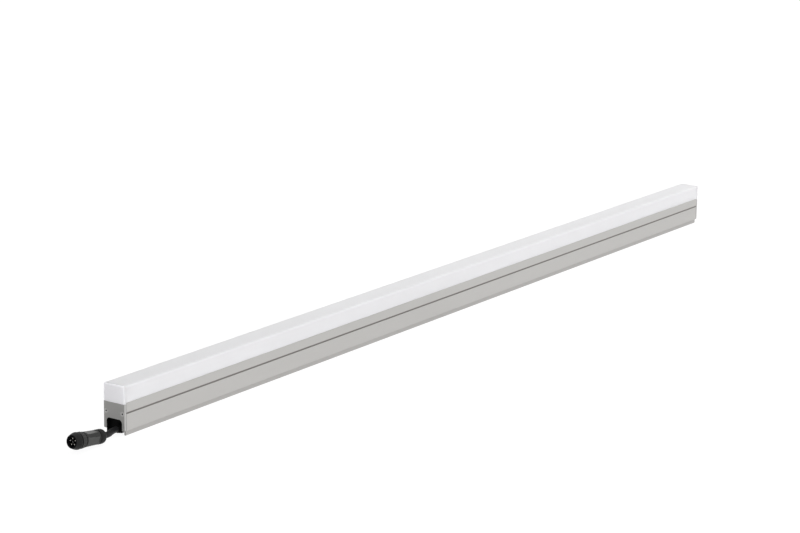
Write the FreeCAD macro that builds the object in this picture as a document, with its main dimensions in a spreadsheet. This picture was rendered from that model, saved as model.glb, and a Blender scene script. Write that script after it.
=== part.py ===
"""Outdoor wall washer light: a one metre aluminium bar with an opal cover and a short plug lead.

Frame: X runs along the bar, the lead leaves the end at -X, Y runs across it and Z is up.
The origin is the middle of the bar on the surface it stands on. Lengths are in millimetres.
"""
import FreeCAD
import Part
import Sketcher
import math
import os

SIZES = {
    # the whole bar
    "bar_length": 1000.0,
    "bar_width": 22.0,
    "housing_height": 28.2,
    "cover_rise": 14.5,
    # aluminium profile
    "side_wall": 1.7,
    "deck_drop": 13.6,
    "deck_thickness": 1.6,
    "lip_height": 4.2,
    "lip_inset": 0.8,
    "lip_round": 0.5,
    "groove_drop": 8.9,
    "groove_width": 1.4,
    "groove_depth": 0.6,
    "screw_drop": 9.5,
    "screw_inset": 2.3,
    "corner_width": 2.7,
    "corner_rise": 2.2,
    "corner_slot": 0.9,
    "catch_drop": 1.9,
    "catch_height": 1.0,
    "catch_depth": 0.6,
    # opal cover
    "cover_wall": 1.6,
    "cover_round": 1.3,
    "cover_seat": 1.4,
    "leg_thickness": 1.2,
    "barb_height": 1.0,
    "barb_lead": 1.0,
    "snap_clearance": 0.2,
    "spigot_length": 1.5,
    "spigot_clearance": 0.1,
    # end caps and their gaskets
    "cap_thickness": 2.2,
    "cap_top_gap": 1.1,
    "cap_overlap": 0.1,
    "cap_round": 0.8,
    "cutout_margin": 0.2,
    "cutout_web": 1.25,
    "cutout_round": 3.0,
    "gasket_thickness": 0.4,
    "gasket_inset": 0.3,
    # thread-forming screws
    "screw_radius": 0.8,
    "screw_clearance": 0.05,
    "screw_hole_radius": 1.1,
    "cap_screw_length": 9.0,
    "cap_head_radius": 1.7,
    "cap_head_recess": 0.15,
    "recess_span": 1.0,
    "recess_width": 0.4,
    "recess_depth": 0.6,
    "pan_head_radius": 1.9,
    "pan_head_height": 1.2,
    # cable outlet under the deck
    "outlet_setback": 0.6,
    "outlet_length": 30.0,
    "outlet_side_gap": 0.3,
    "outlet_floor_gap": 1.0,
    "outlet_foot": 5.2,
    "outlet_shoulder": 0.3,
    "rim_gap": 0.1,
    "rim_thickness": 0.7,
    "rim_setback": 0.15,
    "outlet_gasket": 0.5,
    "outlet_screw_back": 25.3,
    "outlet_screw_seat": 5.6,
    "counterbore_radius": 2.3,
    "pilot_depth": 1.2,
    "riser_back": 19.3,
    "riser_length": 3.0,
    "riser_width": 7.4,
    "riser_gap": 0.4,
    "riser_proud": 0.8,
    "socket_radius": 3.65,
    "socket_depth": 12.0,
    "socket_side": 3.2,
    "socket_height": 5.2,
    # boot and lead
    "boot_clearance": 0.05,
    "boot_collar_length": 0.5,
    "boot_collar_radius": 4.2,
    "boot_nose_radius": 3.3,
    "boot_proud": 0.8,
    "boot_bore_gap": 0.05,
    "lead_radius": 2.6,
    # light boards
    "board_end_gap": 5.0,
    "board_side_gap": 0.6,
    "board_joint_gap": 0.6,
    "board_thickness": 1.2,
    "thermal_pad_thickness": 0.5,
    "thermal_pad_inset": 0.3,
    "light_side": 5.0,
    "light_height": 1.6,
    "chip_length": 4.9,
    "chip_width": 3.9,
    "chip_height": 1.5,
    "link_length": 8.0,
    "link_width": 9.0,
    "link_height": 1.6,
    "terminal_gap": 1.0,
    "terminal_length": 3.0,
    "terminal_width": 8.4,
    "terminal_height": 2.8,
    "core_radius": 0.5,
    "core_spacing": 1.3,
    "core_bend": 1.2,
    # plug on the end of the lead, measured along its own axis from where the lead enters
    "dome_length": 4.0,
    "dome_radius": 3.2,
    "dome_shoulder": 1.5,
    "dome_shoulder_radius": 5.5,
    "collar_radius": 6.15,
    "collar_end": 8.0,
    "grip_step": 0.2,
    "grip_end": 25.2,
    "grip_front_radius": 6.4,
    "shroud_radius": 5.2,
    "shroud_bore": 4.35,
    "shroud_end": 37.1,
    "shroud_floor": 29.0,
    "ridge_start": 29.0,
    "ridge_length": 0.8,
    "ridge_height": 0.35,
    "ring_clearance": 0.1,
    "ring_end_gap": 0.25,
    "ring_front": 37.5,
    "sleeve_radius": 6.7,
    "rib_height": 0.25,
    "rib_width": 0.9,
    "flange_start": 31.3,
    "flange_radius": 7.2,
    "flange_bevel": 1.4,
    "flange_bevel_length": 3.0,
    "lug_width": 2.0,
    "lug_height": 0.4,
    "insert_thickness": 2.5,
    "insert_clearance": 0.05,
    "contact_radius": 0.5,
    "contact_circle": 2.75,
    "contact_setback": 0.8,
    "face_seal_width": 0.7,
    "face_seal_height": 0.6,
}

CONTACTS = 5
SLEEVE_RIBS = 20
CHIPS = 4                  # on each board
LIGHTS_PER_CHIP = 6
PLUG_RISE = 7.0            # degrees, front of the plug above its rear
FIRST_CONTACT = 9.0        # degrees from the top of the plug face
STRAIGHT_RUNS = 3          # of the lead, through its boot
# the lead's turns and the rear of the plug: out from the end of the bar, then across and up from the socket
LEAD_TURNS = ((4.0, 0.0, 0.0), (9.4, -1.5, 0.1), (14.3, -3.85, 0.25))
PLUG_REAR = (23.4, -4.8, 1.0)
LEAD_END_RUN = 4.2

doc = FreeCAD.newDocument("WallWasherLight")
nodes = {}


class Size:
    """A dimension that carries both its value and the sheet formula that drives it."""

    def __init__(self, value, formula):
        self.value = value
        self.formula = formula

    def __add__(self, other):
        other = as_size(other)
        return Size(self.value + other.value, f"({self.formula} + {other.formula})")

    def __sub__(self, other):
        other = as_size(other)
        return Size(self.value - other.value, f"({self.formula} - {other.formula})")

    def __mul__(self, other):
        other = as_size(other)
        return Size(self.value * other.value, f"({self.formula} * {other.formula})")

    def __truediv__(self, other):
        other = as_size(other)
        return Size(self.value / other.value, f"({self.formula} / {other.formula})")

    def __rsub__(self, other):
        return as_size(other) - self

    def __neg__(self):
        return Size(-self.value, f"(-1 * {self.formula})")


def as_size(thing):
    if isinstance(thing, Size):
        return thing
    return Size(float(thing), repr(float(thing)))


def fill_sheet(sizes):
    """Write every driving dimension into the spreadsheet, one named cell each."""
    sheet = doc.addObject("Spreadsheet::Sheet", "Sizes")
    for row, (name, value) in enumerate(sizes.items(), start=1):
        sheet.set(f"A{row}", name)
        sheet.set(f"B{row}", str(value))
        sheet.setAlias(f"B{row}", name)
    doc.recompute()
    return {name: Size(value, f"Sizes.{name}") for name, value in sizes.items()}


size = fill_sheet(SIZES)
ZERO = as_size(0)

# places that several pieces share
half_length = size["bar_length"] / 2
half_width = size["bar_width"] / 2
inner_side = half_width - size["side_wall"]
lip_inner = half_width - size["lip_inset"] - size["side_wall"]
deck_underside = size["housing_height"] - size["deck_drop"]
deck_top = deck_underside + size["deck_thickness"]
screw_height = size["housing_height"] - size["screw_drop"]
corner_inner = inner_side - size["corner_width"]
corner_top = screw_height + size["corner_rise"]
screw_side = half_width - size["screw_inset"]
pilot_radius = size["screw_radius"] + size["screw_clearance"]
catch_top = size["housing_height"] - size["catch_drop"]
catch_bottom = catch_top - size["catch_height"]
cover_top = size["housing_height"] + size["cover_rise"]
cover_inner = half_width - size["cover_wall"]
cover_ceiling = cover_top - size["cover_wall"]
seat_top = size["housing_height"] + size["cover_seat"]
end_build_up = size["cap_thickness"] + size["gasket_thickness"]
cap_bottom = size["lip_height"] - size["cap_overlap"]
cap_top = size["housing_height"] - size["cap_top_gap"]
cutout_side = lip_inner - size["cutout_margin"]
cutout_top = deck_underside - size["cutout_web"]
outlet_front = end_build_up + size["outlet_setback"]
outlet_top = deck_underside - size["outlet_gasket"]
boot_end = outlet_front + size["socket_depth"] - size["boot_clearance"]
outlet_side = lip_inner - size["outlet_side_gap"]
riser_place = outlet_front + size["riser_back"]
riser_hole_end = size["riser_length"] / 2 + size["riser_gap"]
riser_hole_side = size["riser_width"] / 2 + size["riser_gap"]
outlet_screw_place = outlet_front + size["outlet_screw_back"]
board_bottom = deck_top + size["thermal_pad_thickness"]
board_top = board_bottom + size["board_thickness"]
board_length = half_length - size["board_end_gap"] - size["board_joint_gap"] / 2
board_half_width = corner_inner - size["board_side_gap"]
light_pitch = board_length / (CHIPS * LIGHTS_PER_CHIP)
terminal_start = riser_place + riser_hole_end + size["terminal_gap"]


def origin_of(body, role):
    return next(feature for feature in body.Origin.OriginFeatures if feature.Role == role)


def new_body(name):
    body = doc.addObject("PartDesign::Body", name)
    body.Label = name
    nodes[name] = body
    return body


def new_sketch(body, role, shift=(ZERO, ZERO, ZERO)):
    """A sketch on one of the body's origin planes, moved by sizes in that plane's own axes."""
    sketch = body.newObject("Sketcher::SketchObject", "Sketch")
    sketch.AttachmentSupport = (origin_of(body, role), [""])
    sketch.MapMode = "FlatFace"
    base = FreeCAD.Vector(*(part.value for part in shift))
    sketch.AttachmentOffset = FreeCAD.Placement(base, FreeCAD.Rotation())
    for axis, part in zip("xyz", shift):
        if part is not ZERO:
            sketch.setExpression(f"AttachmentOffset.Base.{axis}", part.formula)
    return sketch


def tie(sketch, geometry, point, x, y):
    """Hold one point of the sketch at a place given by two sizes."""
    for kind, place in (("DistanceX", x), ("DistanceY", y)):
        index = sketch.addConstraint(Sketcher.Constraint(kind, -1, 1, geometry, point, place.value))
        sketch.setExpression(f"Constraints[{index}]", place.formula)


def draw_outline(sketch, corners):
    """Draw a closed outline of straight sides, each corner tied to the sheet."""
    places = [FreeCAD.Vector(x.value, y.value, 0) for x, y in corners]
    first = sketch.GeometryCount
    count = len(corners)
    for k in range(count):
        sketch.addGeometry(Part.LineSegment(places[k], places[(k + 1) % count]), False)
    for k in range(count):
        following = first + (k + 1) % count
        sketch.addConstraint(Sketcher.Constraint("Coincident", first + k, 2, following, 1))
        tie(sketch, first + k, 1, *corners[k])


def draw_box(sketch, low_x, low_y, high_x, high_y):
    draw_outline(sketch, [(low_x, low_y), (high_x, low_y), (high_x, high_y), (low_x, high_y)])


def draw_riser_hole(sketch, centre):
    """The opening round the riser, in any sheet that it goes through."""
    draw_box(sketch, centre - riser_hole_end, -riser_hole_side, centre + riser_hole_end, riser_hole_side)


def draw_circle(sketch, x, y, radius):
    centre = FreeCAD.Vector(x.value, y.value, 0)
    index = sketch.addGeometry(Part.Circle(centre, FreeCAD.Vector(0, 0, 1), radius.value), False)
    tie(sketch, index, 3, x, y)
    round_one = sketch.addConstraint(Sketcher.Constraint("Radius", index, radius.value))
    sketch.setExpression(f"Constraints[{round_one}]", radius.formula)


def mirrored(points):
    return [(-x, y) for x, y in points]


def pad(body, sketch, length, both_ways=False):
    feature = body.newObject("PartDesign::Pad", "Pad")
    feature.Profile = sketch
    feature.Length = length.value
    feature.setExpression("Length", length.formula)
    if both_ways:
        feature.SideType = "Symmetric"
    return feature


def pocket(body, sketch, depth=None, forward=True):
    """Cut along the sketch's normal to a depth, or right through both ways."""
    feature = body.newObject("PartDesign::Pocket", "Pocket")
    feature.Profile = sketch
    if depth is None:
        feature.SideType = "Symmetric"
        feature.Type = "ThroughAll"
    else:
        feature.Length = depth.value
        feature.setExpression("Length", depth.formula)
        feature.Reversed = forward
    return feature


def turned(body, sketch, axis, cut=False):
    feature = body.newObject("PartDesign::Groove" if cut else "PartDesign::Revolution", "Turn")
    feature.Profile = sketch
    feature.ReferenceAxis = (sketch, [axis])
    feature.Angle = 360
    return feature


def mirror_across(body, features):
    """Repeat features on the other side of the bar's middle plane."""
    feature = body.newObject("PartDesign::Mirrored", "Mirrored")
    feature.Originals = features
    feature.MirrorPlane = (origin_of(body, "XZ_Plane"), [""])
    body.Tip = feature
    return feature


def repeat_along(body, features, spacing, count):
    feature = body.newObject("PartDesign::LinearPattern", "Row")
    feature.Originals = features
    feature.Direction = (origin_of(body, "X_Axis"), [""])
    feature.Mode = "Spacing"
    feature.Offset = spacing.value
    feature.setExpression("Offset", spacing.formula)
    feature.Occurrences = int(count)
    body.Tip = feature
    return feature


def repeat_round(body, features, count):
    feature = body.newObject("PartDesign::PolarPattern", "Round")
    feature.Originals = features
    feature.Axis = (origin_of(body, "X_Axis"), [""])
    feature.Angle = 360
    feature.Occurrences = count
    body.Tip = feature
    return feature


def round_long_edges(body, base, places, radius):
    """Fillet the edges that run along X through the given places of the section."""
    doc.recompute()
    names = []
    for number, edge in enumerate(base.Shape.Edges, start=1):
        start = edge.Vertexes[0].Point
        end = edge.Vertexes[-1].Point
        for y, z in places:
            beside = all(math.hypot(p.y - y.value, p.z - z.value) < 1e-4 for p in (start, end))
            if beside and abs(end.x - start.x) > 1e-3:
                names.append(f"Edge{number}")
    feature = body.newObject("PartDesign::Fillet", "Fillet")
    feature.Base = (base, names)
    feature.Radius = radius.value
    feature.setExpression("Radius", radius.formula)
    return feature


def place_at_end(body, end):
    """Set a piece drawn inwards from the end face at the near end (-1) or the far end (+1)."""
    place = half_length if end > 0 else -half_length
    turn = FreeCAD.Rotation(FreeCAD.Vector(0, 0, 1), 180 if end > 0 else 0)
    body.Placement = FreeCAD.Placement(FreeCAD.Vector(place.value, 0, 0), turn)
    body.setExpression("Placement.Base.x", place.formula)


def end_name(end, piece):
    return ("far_" if end > 0 else "near_") + piece


# ---- aluminium profile ----

def make_housing():
    """The extruded bar: two side walls, a deck, open screw corners, and lips that clips grip."""
    body = new_body("housing_profile")
    groove_height = size["housing_height"] - size["groove_drop"]
    groove_top = groove_height + size["groove_width"] / 2
    groove_bottom = groove_height - size["groove_width"] / 2
    groove_floor = half_width - size["groove_depth"]
    lip_outer = half_width - size["lip_inset"]
    hook_top = size["lip_height"] + size["side_wall"]
    catch_side = inner_side - size["catch_depth"]
    outside = [
        (half_width, size["housing_height"]),
        (half_width, groove_top),
        (groove_floor, groove_top),
        (groove_floor, groove_bottom),
        (half_width, groove_bottom),
        (half_width, size["lip_height"]),
        (lip_outer, size["lip_height"]),
        (lip_outer, ZERO),
        (lip_inner, ZERO),
        (lip_inner, hook_top),
        (inner_side, hook_top),
        (inner_side, deck_underside),
    ]
    chamber = [
        (inner_side, size["housing_height"]),
        (inner_side, catch_top),
        (catch_side, catch_top),
        (catch_side, catch_bottom),
        (inner_side, catch_bottom),
        (inner_side, corner_top),
        (corner_inner, corner_top),
        (corner_inner, deck_top),
    ]
    section = new_sketch(body, "YZ_Plane")
    draw_outline(section, outside + mirrored(outside)[::-1] + mirrored(chamber) + chamber[::-1])
    bar = pad(body, section, size["bar_length"] - end_build_up * 2, both_ways=True)
    lip_places = [(side, ZERO) for side in (lip_outer, lip_inner, -lip_outer, -lip_inner)]
    round_long_edges(body, bar, lip_places, size["lip_round"])

    bores = new_sketch(body, "YZ_Plane")
    for side in (screw_side, -screw_side):
        draw_circle(bores, side, screw_height, pilot_radius)
    pocket(body, bores)
    slots = new_sketch(body, "YZ_Plane")
    slot_low = screw_height - size["corner_slot"] / 2
    slot_high = screw_height + size["corner_slot"] / 2
    draw_box(slots, corner_inner - size["corner_slot"], slot_low, screw_side, slot_high)
    draw_box(slots, -screw_side, slot_low, -corner_inner + size["corner_slot"], slot_high)
    pocket(body, slots)

    risers = new_sketch(body, "XY_Plane")
    pilots = new_sketch(body, "XY_Plane", (ZERO, ZERO, deck_underside))
    for end in (-1, 1):
        draw_riser_hole(risers, (half_length - riser_place) * end)
        draw_circle(pilots, (half_length - outlet_screw_place) * end, ZERO, pilot_radius)
    pocket(body, risers)
    pocket(body, pilots, size["pilot_depth"])


# ---- opal cover ----

def make_cover():
    """The extruded opal cover: a box over the bar with two barbed legs that snap inside it."""
    body = new_body("opal_cover")
    leg_outer = inner_side - size["catch_depth"] - size["snap_clearance"]
    leg_inner = leg_outer - size["leg_thickness"]
    barb_side = inner_side - size["snap_clearance"]
    barb_top = catch_bottom - size["snap_clearance"]
    barb_bottom = barb_top - size["barb_height"]
    leg_bottom = barb_bottom - size["barb_lead"]
    half = [
        (half_width, cover_top),
        (half_width, size["housing_height"]),
        (leg_outer, size["housing_height"]),
        (leg_outer, barb_top),
        (barb_side, barb_top),
        (barb_side, barb_bottom),
        (leg_outer, leg_bottom),
        (leg_inner, leg_bottom),
        (leg_inner, seat_top),
        (cover_inner, seat_top),
        (cover_inner, cover_ceiling),
    ]
    section = new_sketch(body, "YZ_Plane")
    draw_outline(section, half + mirrored(half)[::-1])
    box = pad(body, section, size["bar_length"] - end_build_up * 2, both_ways=True)
    corners = [(half_width, cover_top), (-half_width, cover_top)]
    round_long_edges(body, box, corners, size["cover_round"])


def make_cover_end(end):
    """The opal plate that closes the cover, with a spigot that sits inside it."""
    body = new_body(end_name(end, "cover_end"))
    plate = new_sketch(body, "YZ_Plane")
    draw_box(plate, -half_width, cap_top, half_width, cover_top)
    face = pad(body, plate, end_build_up)
    corners = [(half_width, cover_top), (-half_width, cover_top)]
    round_long_edges(body, face, corners, size["cover_round"])
    fit = size["spigot_clearance"]
    spigot = new_sketch(body, "YZ_Plane", (ZERO, ZERO, end_build_up))
    draw_box(spigot, fit - cover_inner, seat_top + fit, cover_inner - fit, cover_ceiling - fit)
    pad(body, spigot, size["spigot_length"])
    place_at_end(body, end)


# ---- end caps ----

def arch_outline(inset):
    """Outline of the bar's end with the cable cut-out in it, drawn in by an inset."""
    side = half_width - inset
    leg = cutout_side + inset
    low = cap_bottom + inset
    arch = cutout_top + inset
    top = cap_top - inset
    plate = [(side, low), (side, top), (-side, top), (-side, low)]
    opening = [(-leg, low), (-leg, arch), (leg, arch), (leg, low)]
    return plate + opening


def make_end_cap(end):
    """The cap plate: square top corners, rounded feet, a cut-out for the lead, two countersinks."""
    body = new_body(end_name(end, "end_cap"))
    outline = new_sketch(body, "YZ_Plane")
    draw_outline(outline, arch_outline(ZERO))
    plate = pad(body, outline, size["cap_thickness"])
    arch = [(cutout_side, cutout_top), (-cutout_side, cutout_top)]
    rounded = round_long_edges(body, plate, arch, size["cutout_round"])
    feet = [(half_width, cap_bottom), (-half_width, cap_bottom)]
    round_long_edges(body, rounded, feet, size["cap_round"])
    mouth = size["cap_head_radius"] + size["cap_head_recess"] + size["screw_clearance"]
    hole = new_sketch(body, "XY_Plane", (ZERO, screw_side, screw_height))
    draw_outline(hole, [
        (ZERO, ZERO),
        (ZERO, mouth),
        (mouth - size["screw_hole_radius"], size["screw_hole_radius"]),
        (size["cap_thickness"], size["screw_hole_radius"]),
        (size["cap_thickness"], ZERO),
    ])
    sink = turned(body, hole, "H_Axis", cut=True)
    mirror_across(body, [sink])
    place_at_end(body, end)


def make_end_gasket(end):
    """Silicone sheet between the cap and the profile."""
    body = new_body(end_name(end, "end_gasket"))
    sheet = new_sketch(body, "YZ_Plane", (ZERO, ZERO, size["cap_thickness"]))
    draw_outline(sheet, arch_outline(size["gasket_inset"]))
    for side in (screw_side, -screw_side):
        draw_circle(sheet, side, screw_height, size["screw_hole_radius"])
    pad(body, sheet, size["gasket_thickness"])
    place_at_end(body, end)


def make_cap_screws(end):
    """Two countersunk screws with a cross recess, driven into the corners of the profile."""
    body = new_body(end_name(end, "cap_screws"))
    head = size["cap_head_recess"]
    tip = head + size["cap_screw_length"]
    profile = new_sketch(body, "XY_Plane", (ZERO, screw_side, screw_height))
    draw_outline(profile, [
        (head, ZERO),
        (head, size["cap_head_radius"]),
        (head + size["cap_head_radius"] - size["screw_radius"], size["screw_radius"]),
        (tip, size["screw_radius"]),
        (tip, ZERO),
    ])
    screw = turned(body, profile, "H_Axis")
    cross = new_sketch(body, "YZ_Plane", (screw_side, screw_height, head))
    arm = size["recess_span"]
    web = size["recess_width"] / 2
    quarter = [(web, arm), (web, web), (arm, web)]
    draw_outline(cross, quarter + [(x, -y) for x, y in quarter[::-1]] + [(-x, -y) for x, y in quarter]
                 + [(-x, y) for x, y in quarter[::-1]])
    recess = pocket(body, cross, size["recess_depth"])
    mirror_across(body, [screw, recess])
    place_at_end(body, end)


# ---- cable outlets under the deck ----

def make_outlet_block(end):
    """The moulded block that brings the lead through the deck: a rim that lines the cap's cut-out,
    and behind it the block itself, cut back under the cap's leg on the side of the boot's socket."""
    body = new_body(end_name(end, "outlet_block"))
    shoulder = size["lip_height"] + size["outlet_shoulder"]
    rim_side = cutout_side - size["rim_gap"]
    rim_top = cutout_top - size["rim_gap"]
    inner_rim_side = rim_side - size["rim_thickness"]
    inner_rim_top = rim_top - size["rim_thickness"]
    floor = size["outlet_floor_gap"]
    outline = [(rim_side, floor), (rim_side, rim_top), (-rim_side, rim_top), (-rim_side, shoulder)]
    opening = [(-inner_rim_side, shoulder), (-inner_rim_side, inner_rim_top),
               (inner_rim_side, inner_rim_top), (inner_rim_side, floor)]
    edge = new_sketch(body, "YZ_Plane", (ZERO, ZERO, size["rim_setback"]))
    draw_outline(edge, outline + opening)
    rim = pad(body, edge, outlet_front - size["rim_setback"])
    outer_round = size["cutout_round"] - size["rim_gap"]
    rounded = round_long_edges(body, rim, outline[1:3], outer_round)
    round_long_edges(body, rounded, opening[1:3], outer_round - size["rim_thickness"])
    section = new_sketch(body, "YZ_Plane", (ZERO, ZERO, outlet_front))
    draw_outline(section, [
        (outlet_side, outlet_top),
        (outlet_side, floor),
        (-size["outlet_foot"], floor),
        (-outlet_side, shoulder),
        (-outlet_side, outlet_top),
    ])
    pad(body, section, size["outlet_length"])
    riser = new_sketch(body, "XY_Plane", (ZERO, ZERO, outlet_top))
    along = size["riser_length"] / 2
    across = size["riser_width"] / 2
    draw_box(riser, riser_place - along, -across, riser_place + along, across)
    pad(body, riser, deck_top + size["riser_proud"] - outlet_top)
    socket = new_sketch(body, "YZ_Plane", (ZERO, ZERO, outlet_front))
    draw_circle(socket, -size["socket_side"], size["socket_height"], size["socket_radius"])
    pocket(body, socket, size["socket_depth"])
    hole = new_sketch(body, "XY_Plane")
    draw_circle(hole, outlet_screw_place, ZERO, size["screw_hole_radius"])
    head = new_sketch(body, "XY_Plane")
    draw_circle(head, outlet_screw_place, ZERO, size["counterbore_radius"])
    pocket(body, hole)
    pocket(body, head, size["outlet_screw_seat"])
    place_at_end(body, end)


def make_outlet_gasket(end):
    """Flat seal between the outlet block and the underside of the deck."""
    body = new_body(end_name(end, "outlet_gasket"))
    sheet = new_sketch(body, "XY_Plane", (ZERO, ZERO, outlet_top))
    draw_box(sheet, outlet_front, -outlet_side, outlet_front + size["outlet_length"], outlet_side)
    draw_riser_hole(sheet, riser_place)
    draw_circle(sheet, outlet_screw_place, ZERO, size["screw_hole_radius"])
    pad(body, sheet, size["outlet_gasket"])
    place_at_end(body, end)


def make_outlet_screw(end):
    """The pan-head screw that holds the outlet block up against the deck."""
    body = new_body(end_name(end, "outlet_screw"))
    seat = size["outlet_screw_seat"]
    tip = deck_underside + size["pilot_depth"] - size["screw_clearance"]
    profile = new_sketch(body, "XZ_Plane", (outlet_screw_place, ZERO, ZERO))
    draw_outline(profile, [
        (ZERO, seat - size["pan_head_height"]),
        (size["pan_head_radius"], seat - size["pan_head_height"]),
        (size["pan_head_radius"], seat),
        (size["screw_radius"], seat),
        (size["screw_radius"], tip),
        (ZERO, tip),
    ])
    turned(body, profile, "V_Axis")
    place_at_end(body, end)


def make_boot():
    """The boot round the lead: a spigot in the block's socket and a tapered nose."""
    body = new_body("lead_boot")
    profile = new_sketch(body, "XY_Plane", (ZERO, -size["socket_side"], size["socket_height"]))
    spigot = size["socket_radius"] - size["boot_clearance"]
    bore = size["lead_radius"] + size["boot_bore_gap"]
    draw_outline(profile, [
        (-size["boot_proud"], bore),
        (-size["boot_proud"], size["boot_nose_radius"]),
        (outlet_front - size["boot_collar_length"], size["boot_collar_radius"]),
        (outlet_front, size["boot_collar_radius"]),
        (outlet_front, spigot),
        (boot_end, spigot),
        (boot_end, bore),
    ])
    turned(body, profile, "H_Axis")
    place_at_end(body, -1)


# ---- light boards ----

def make_thermal_pad():
    """Heat-conducting adhesive strip that holds the boards on the deck."""
    body = new_body("thermal_pad")
    strip = new_sketch(body, "XY_Plane", (ZERO, ZERO, deck_top))
    reach = half_length - size["board_end_gap"] - size["thermal_pad_inset"]
    side = board_half_width - size["thermal_pad_inset"]
    draw_box(strip, -reach, -side, reach, side)
    for end in (-1, 1):
        draw_riser_hole(strip, (half_length - riser_place) * end)
    pad(body, strip, size["thermal_pad_thickness"])


def make_light_board(end):
    body = new_body(end_name(end, "light_board"))
    board = new_sketch(body, "XY_Plane", (ZERO, ZERO, board_bottom))
    start = size["board_end_gap"]
    draw_box(board, start, -board_half_width, start + board_length, board_half_width)
    draw_riser_hole(board, riser_place)
    pad(body, board, size["board_thickness"])
    place_at_end(body, end)


def make_lights(end):
    """The row of light packages on one board."""
    body = new_body(end_name(end, "lights"))
    first = size["board_end_gap"] + light_pitch / 2
    half_side = size["light_side"] / 2
    shell = new_sketch(body, "XY_Plane", (ZERO, ZERO, board_top))
    draw_box(shell, first - half_side, -half_side, first + half_side, half_side)
    package = pad(body, shell, size["light_height"])
    repeat_along(body, [package], light_pitch, CHIPS * LIGHTS_PER_CHIP)
    place_at_end(body, end)


def make_driver_chips(end):
    """The driver chips that stand between the light packages."""
    body = new_body(end_name(end, "driver_chips"))
    outline = new_sketch(body, "XY_Plane", (ZERO, ZERO, board_top))
    centre = size["board_end_gap"] + light_pitch * (LIGHTS_PER_CHIP / 2)
    along = size["chip_length"] / 2
    across = size["chip_width"] / 2
    draw_box(outline, centre - along, -across, centre + along, across)
    chip = pad(body, outline, size["chip_height"])
    repeat_along(body, [chip], light_pitch * LIGHTS_PER_CHIP, CHIPS)
    place_at_end(body, end)


def make_board_link():
    """Connector that bridges the two boards in the middle of the bar."""
    body = new_body("board_link")
    outline = new_sketch(body, "XY_Plane", (ZERO, ZERO, board_top))
    along = size["link_length"] / 2
    across = size["link_width"] / 2
    draw_box(outline, -along, -across, along, across)
    pad(body, outline, size["link_height"])


def make_terminal(end):
    """Terminal block that takes the cores of the lead."""
    body = new_body(end_name(end, "terminal"))
    outline = new_sketch(body, "XY_Plane", (ZERO, ZERO, board_top))
    across = size["terminal_width"] / 2
    draw_box(outline, terminal_start, -across, terminal_start + size["terminal_length"], across)
    pad(body, outline, size["terminal_height"])
    place_at_end(body, end)


def pipe(runs, start, direction, radius):
    """A round tube along joined runs, mitred where they meet at an angle."""
    section = Part.Wire([Part.Circle(start, direction, radius).toShape()])
    return Part.Wire(runs).makePipeShell([section], True, False, 1)


def make_cores():
    """The ends of the lead's cores, bent over from the riser into the terminal block."""
    radius = size["core_radius"].value
    bend = size["core_bend"].value
    low = (deck_top + size["riser_proud"]).value
    high = (board_top + size["terminal_height"] / 2).value
    start = (riser_place - half_length).value
    finish = (terminal_start - half_length).value
    cores = []
    for number in range(CONTACTS):
        y = (number - (CONTACTS - 1) / 2) * size["core_spacing"].value
        route = [(start, low), (start, high - bend), (start + bend, high), (finish, high)]
        corners = [FreeCAD.Vector(x, y, z) for x, z in route]
        runs = [Part.LineSegment(a, b).toShape() for a, b in zip(corners, corners[1:])]
        cores.append(pipe(runs, corners[0], FreeCAD.Vector(0, 0, 1), radius))
    add_shape("near_cores", Part.makeCompound(cores))


def add_shape(name, shape):
    feature = doc.addObject("Part::Feature", name)
    feature.Label = name
    feature.Shape = shape
    feature.Placement = FreeCAD.Placement()
    nodes[name] = feature


# ---- lead and plug ----

def plug_forward():
    rise = math.radians(PLUG_RISE)
    return FreeCAD.Vector(-math.cos(rise), 0, math.sin(rise))


def beyond_socket(away, across, up):
    """A place given out from the end of the bar, and across and up from the socket's axis."""
    return -half_length - away, across - size["socket_side"], size["socket_height"] + up


def lead_points():
    """The route of the lead: straight through its boot, then over to the rear of the plug."""
    inner = boot_end.value
    first_turn = LEAD_TURNS[0][0]
    run = (first_turn + inner) / STRAIGHT_RUNS
    straight = [(run * k - inner, 0.0, 0.0) for k in range(STRAIGHT_RUNS)]
    points = []
    for place in (*straight, *LEAD_TURNS, PLUG_REAR):
        points.append(FreeCAD.Vector(*(part.value for part in beyond_socket(*place))))
    points.insert(-1, points[-1] - plug_forward() * LEAD_END_RUN)
    return points


def make_lead():
    """The lead: straight runs joined by tangent arcs, each as large as its runs allow."""
    points = lead_points()
    radius = size["lead_radius"].value
    path = []
    here = points[0]
    for before, corner, after in zip(points, points[1:], points[2:]):
        into = (corner - before).normalize()
        out = (after - corner).normalize()
        half_turn = into.getAngle(out) / 2
        if half_turn < 1e-6:
            continue
        reach = 0.45 * min(corner.distanceToPoint(before), after.distanceToPoint(corner))
        bend = reach / math.tan(half_turn)
        print(f"lead bend radius {bend:.1f} mm, {bend / radius / 2:.1f} diameters")
        start = corner - into * reach
        end = corner + out * reach
        inward = (out - into).normalize()
        middle = corner + inward * (bend / math.cos(half_turn) - bend)
        path.append(Part.LineSegment(here, start).toShape())
        path.append(Part.Arc(start, middle, end).toShape())
        here = end
    path.append(Part.LineSegment(here, points[-1]).toShape())
    lead = pipe(path, points[0], points[1] - points[0], radius)
    length = sum(edge.Length for edge in path)
    share = lead.Volume / (math.pi * radius ** 2 * length)
    print(f"lead length {length:.1f} mm, volume over section times length {share:.4f}")
    print("lead route:", [[round(part, 3) for part in point] for point in points])
    add_shape("lead", lead)


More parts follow.
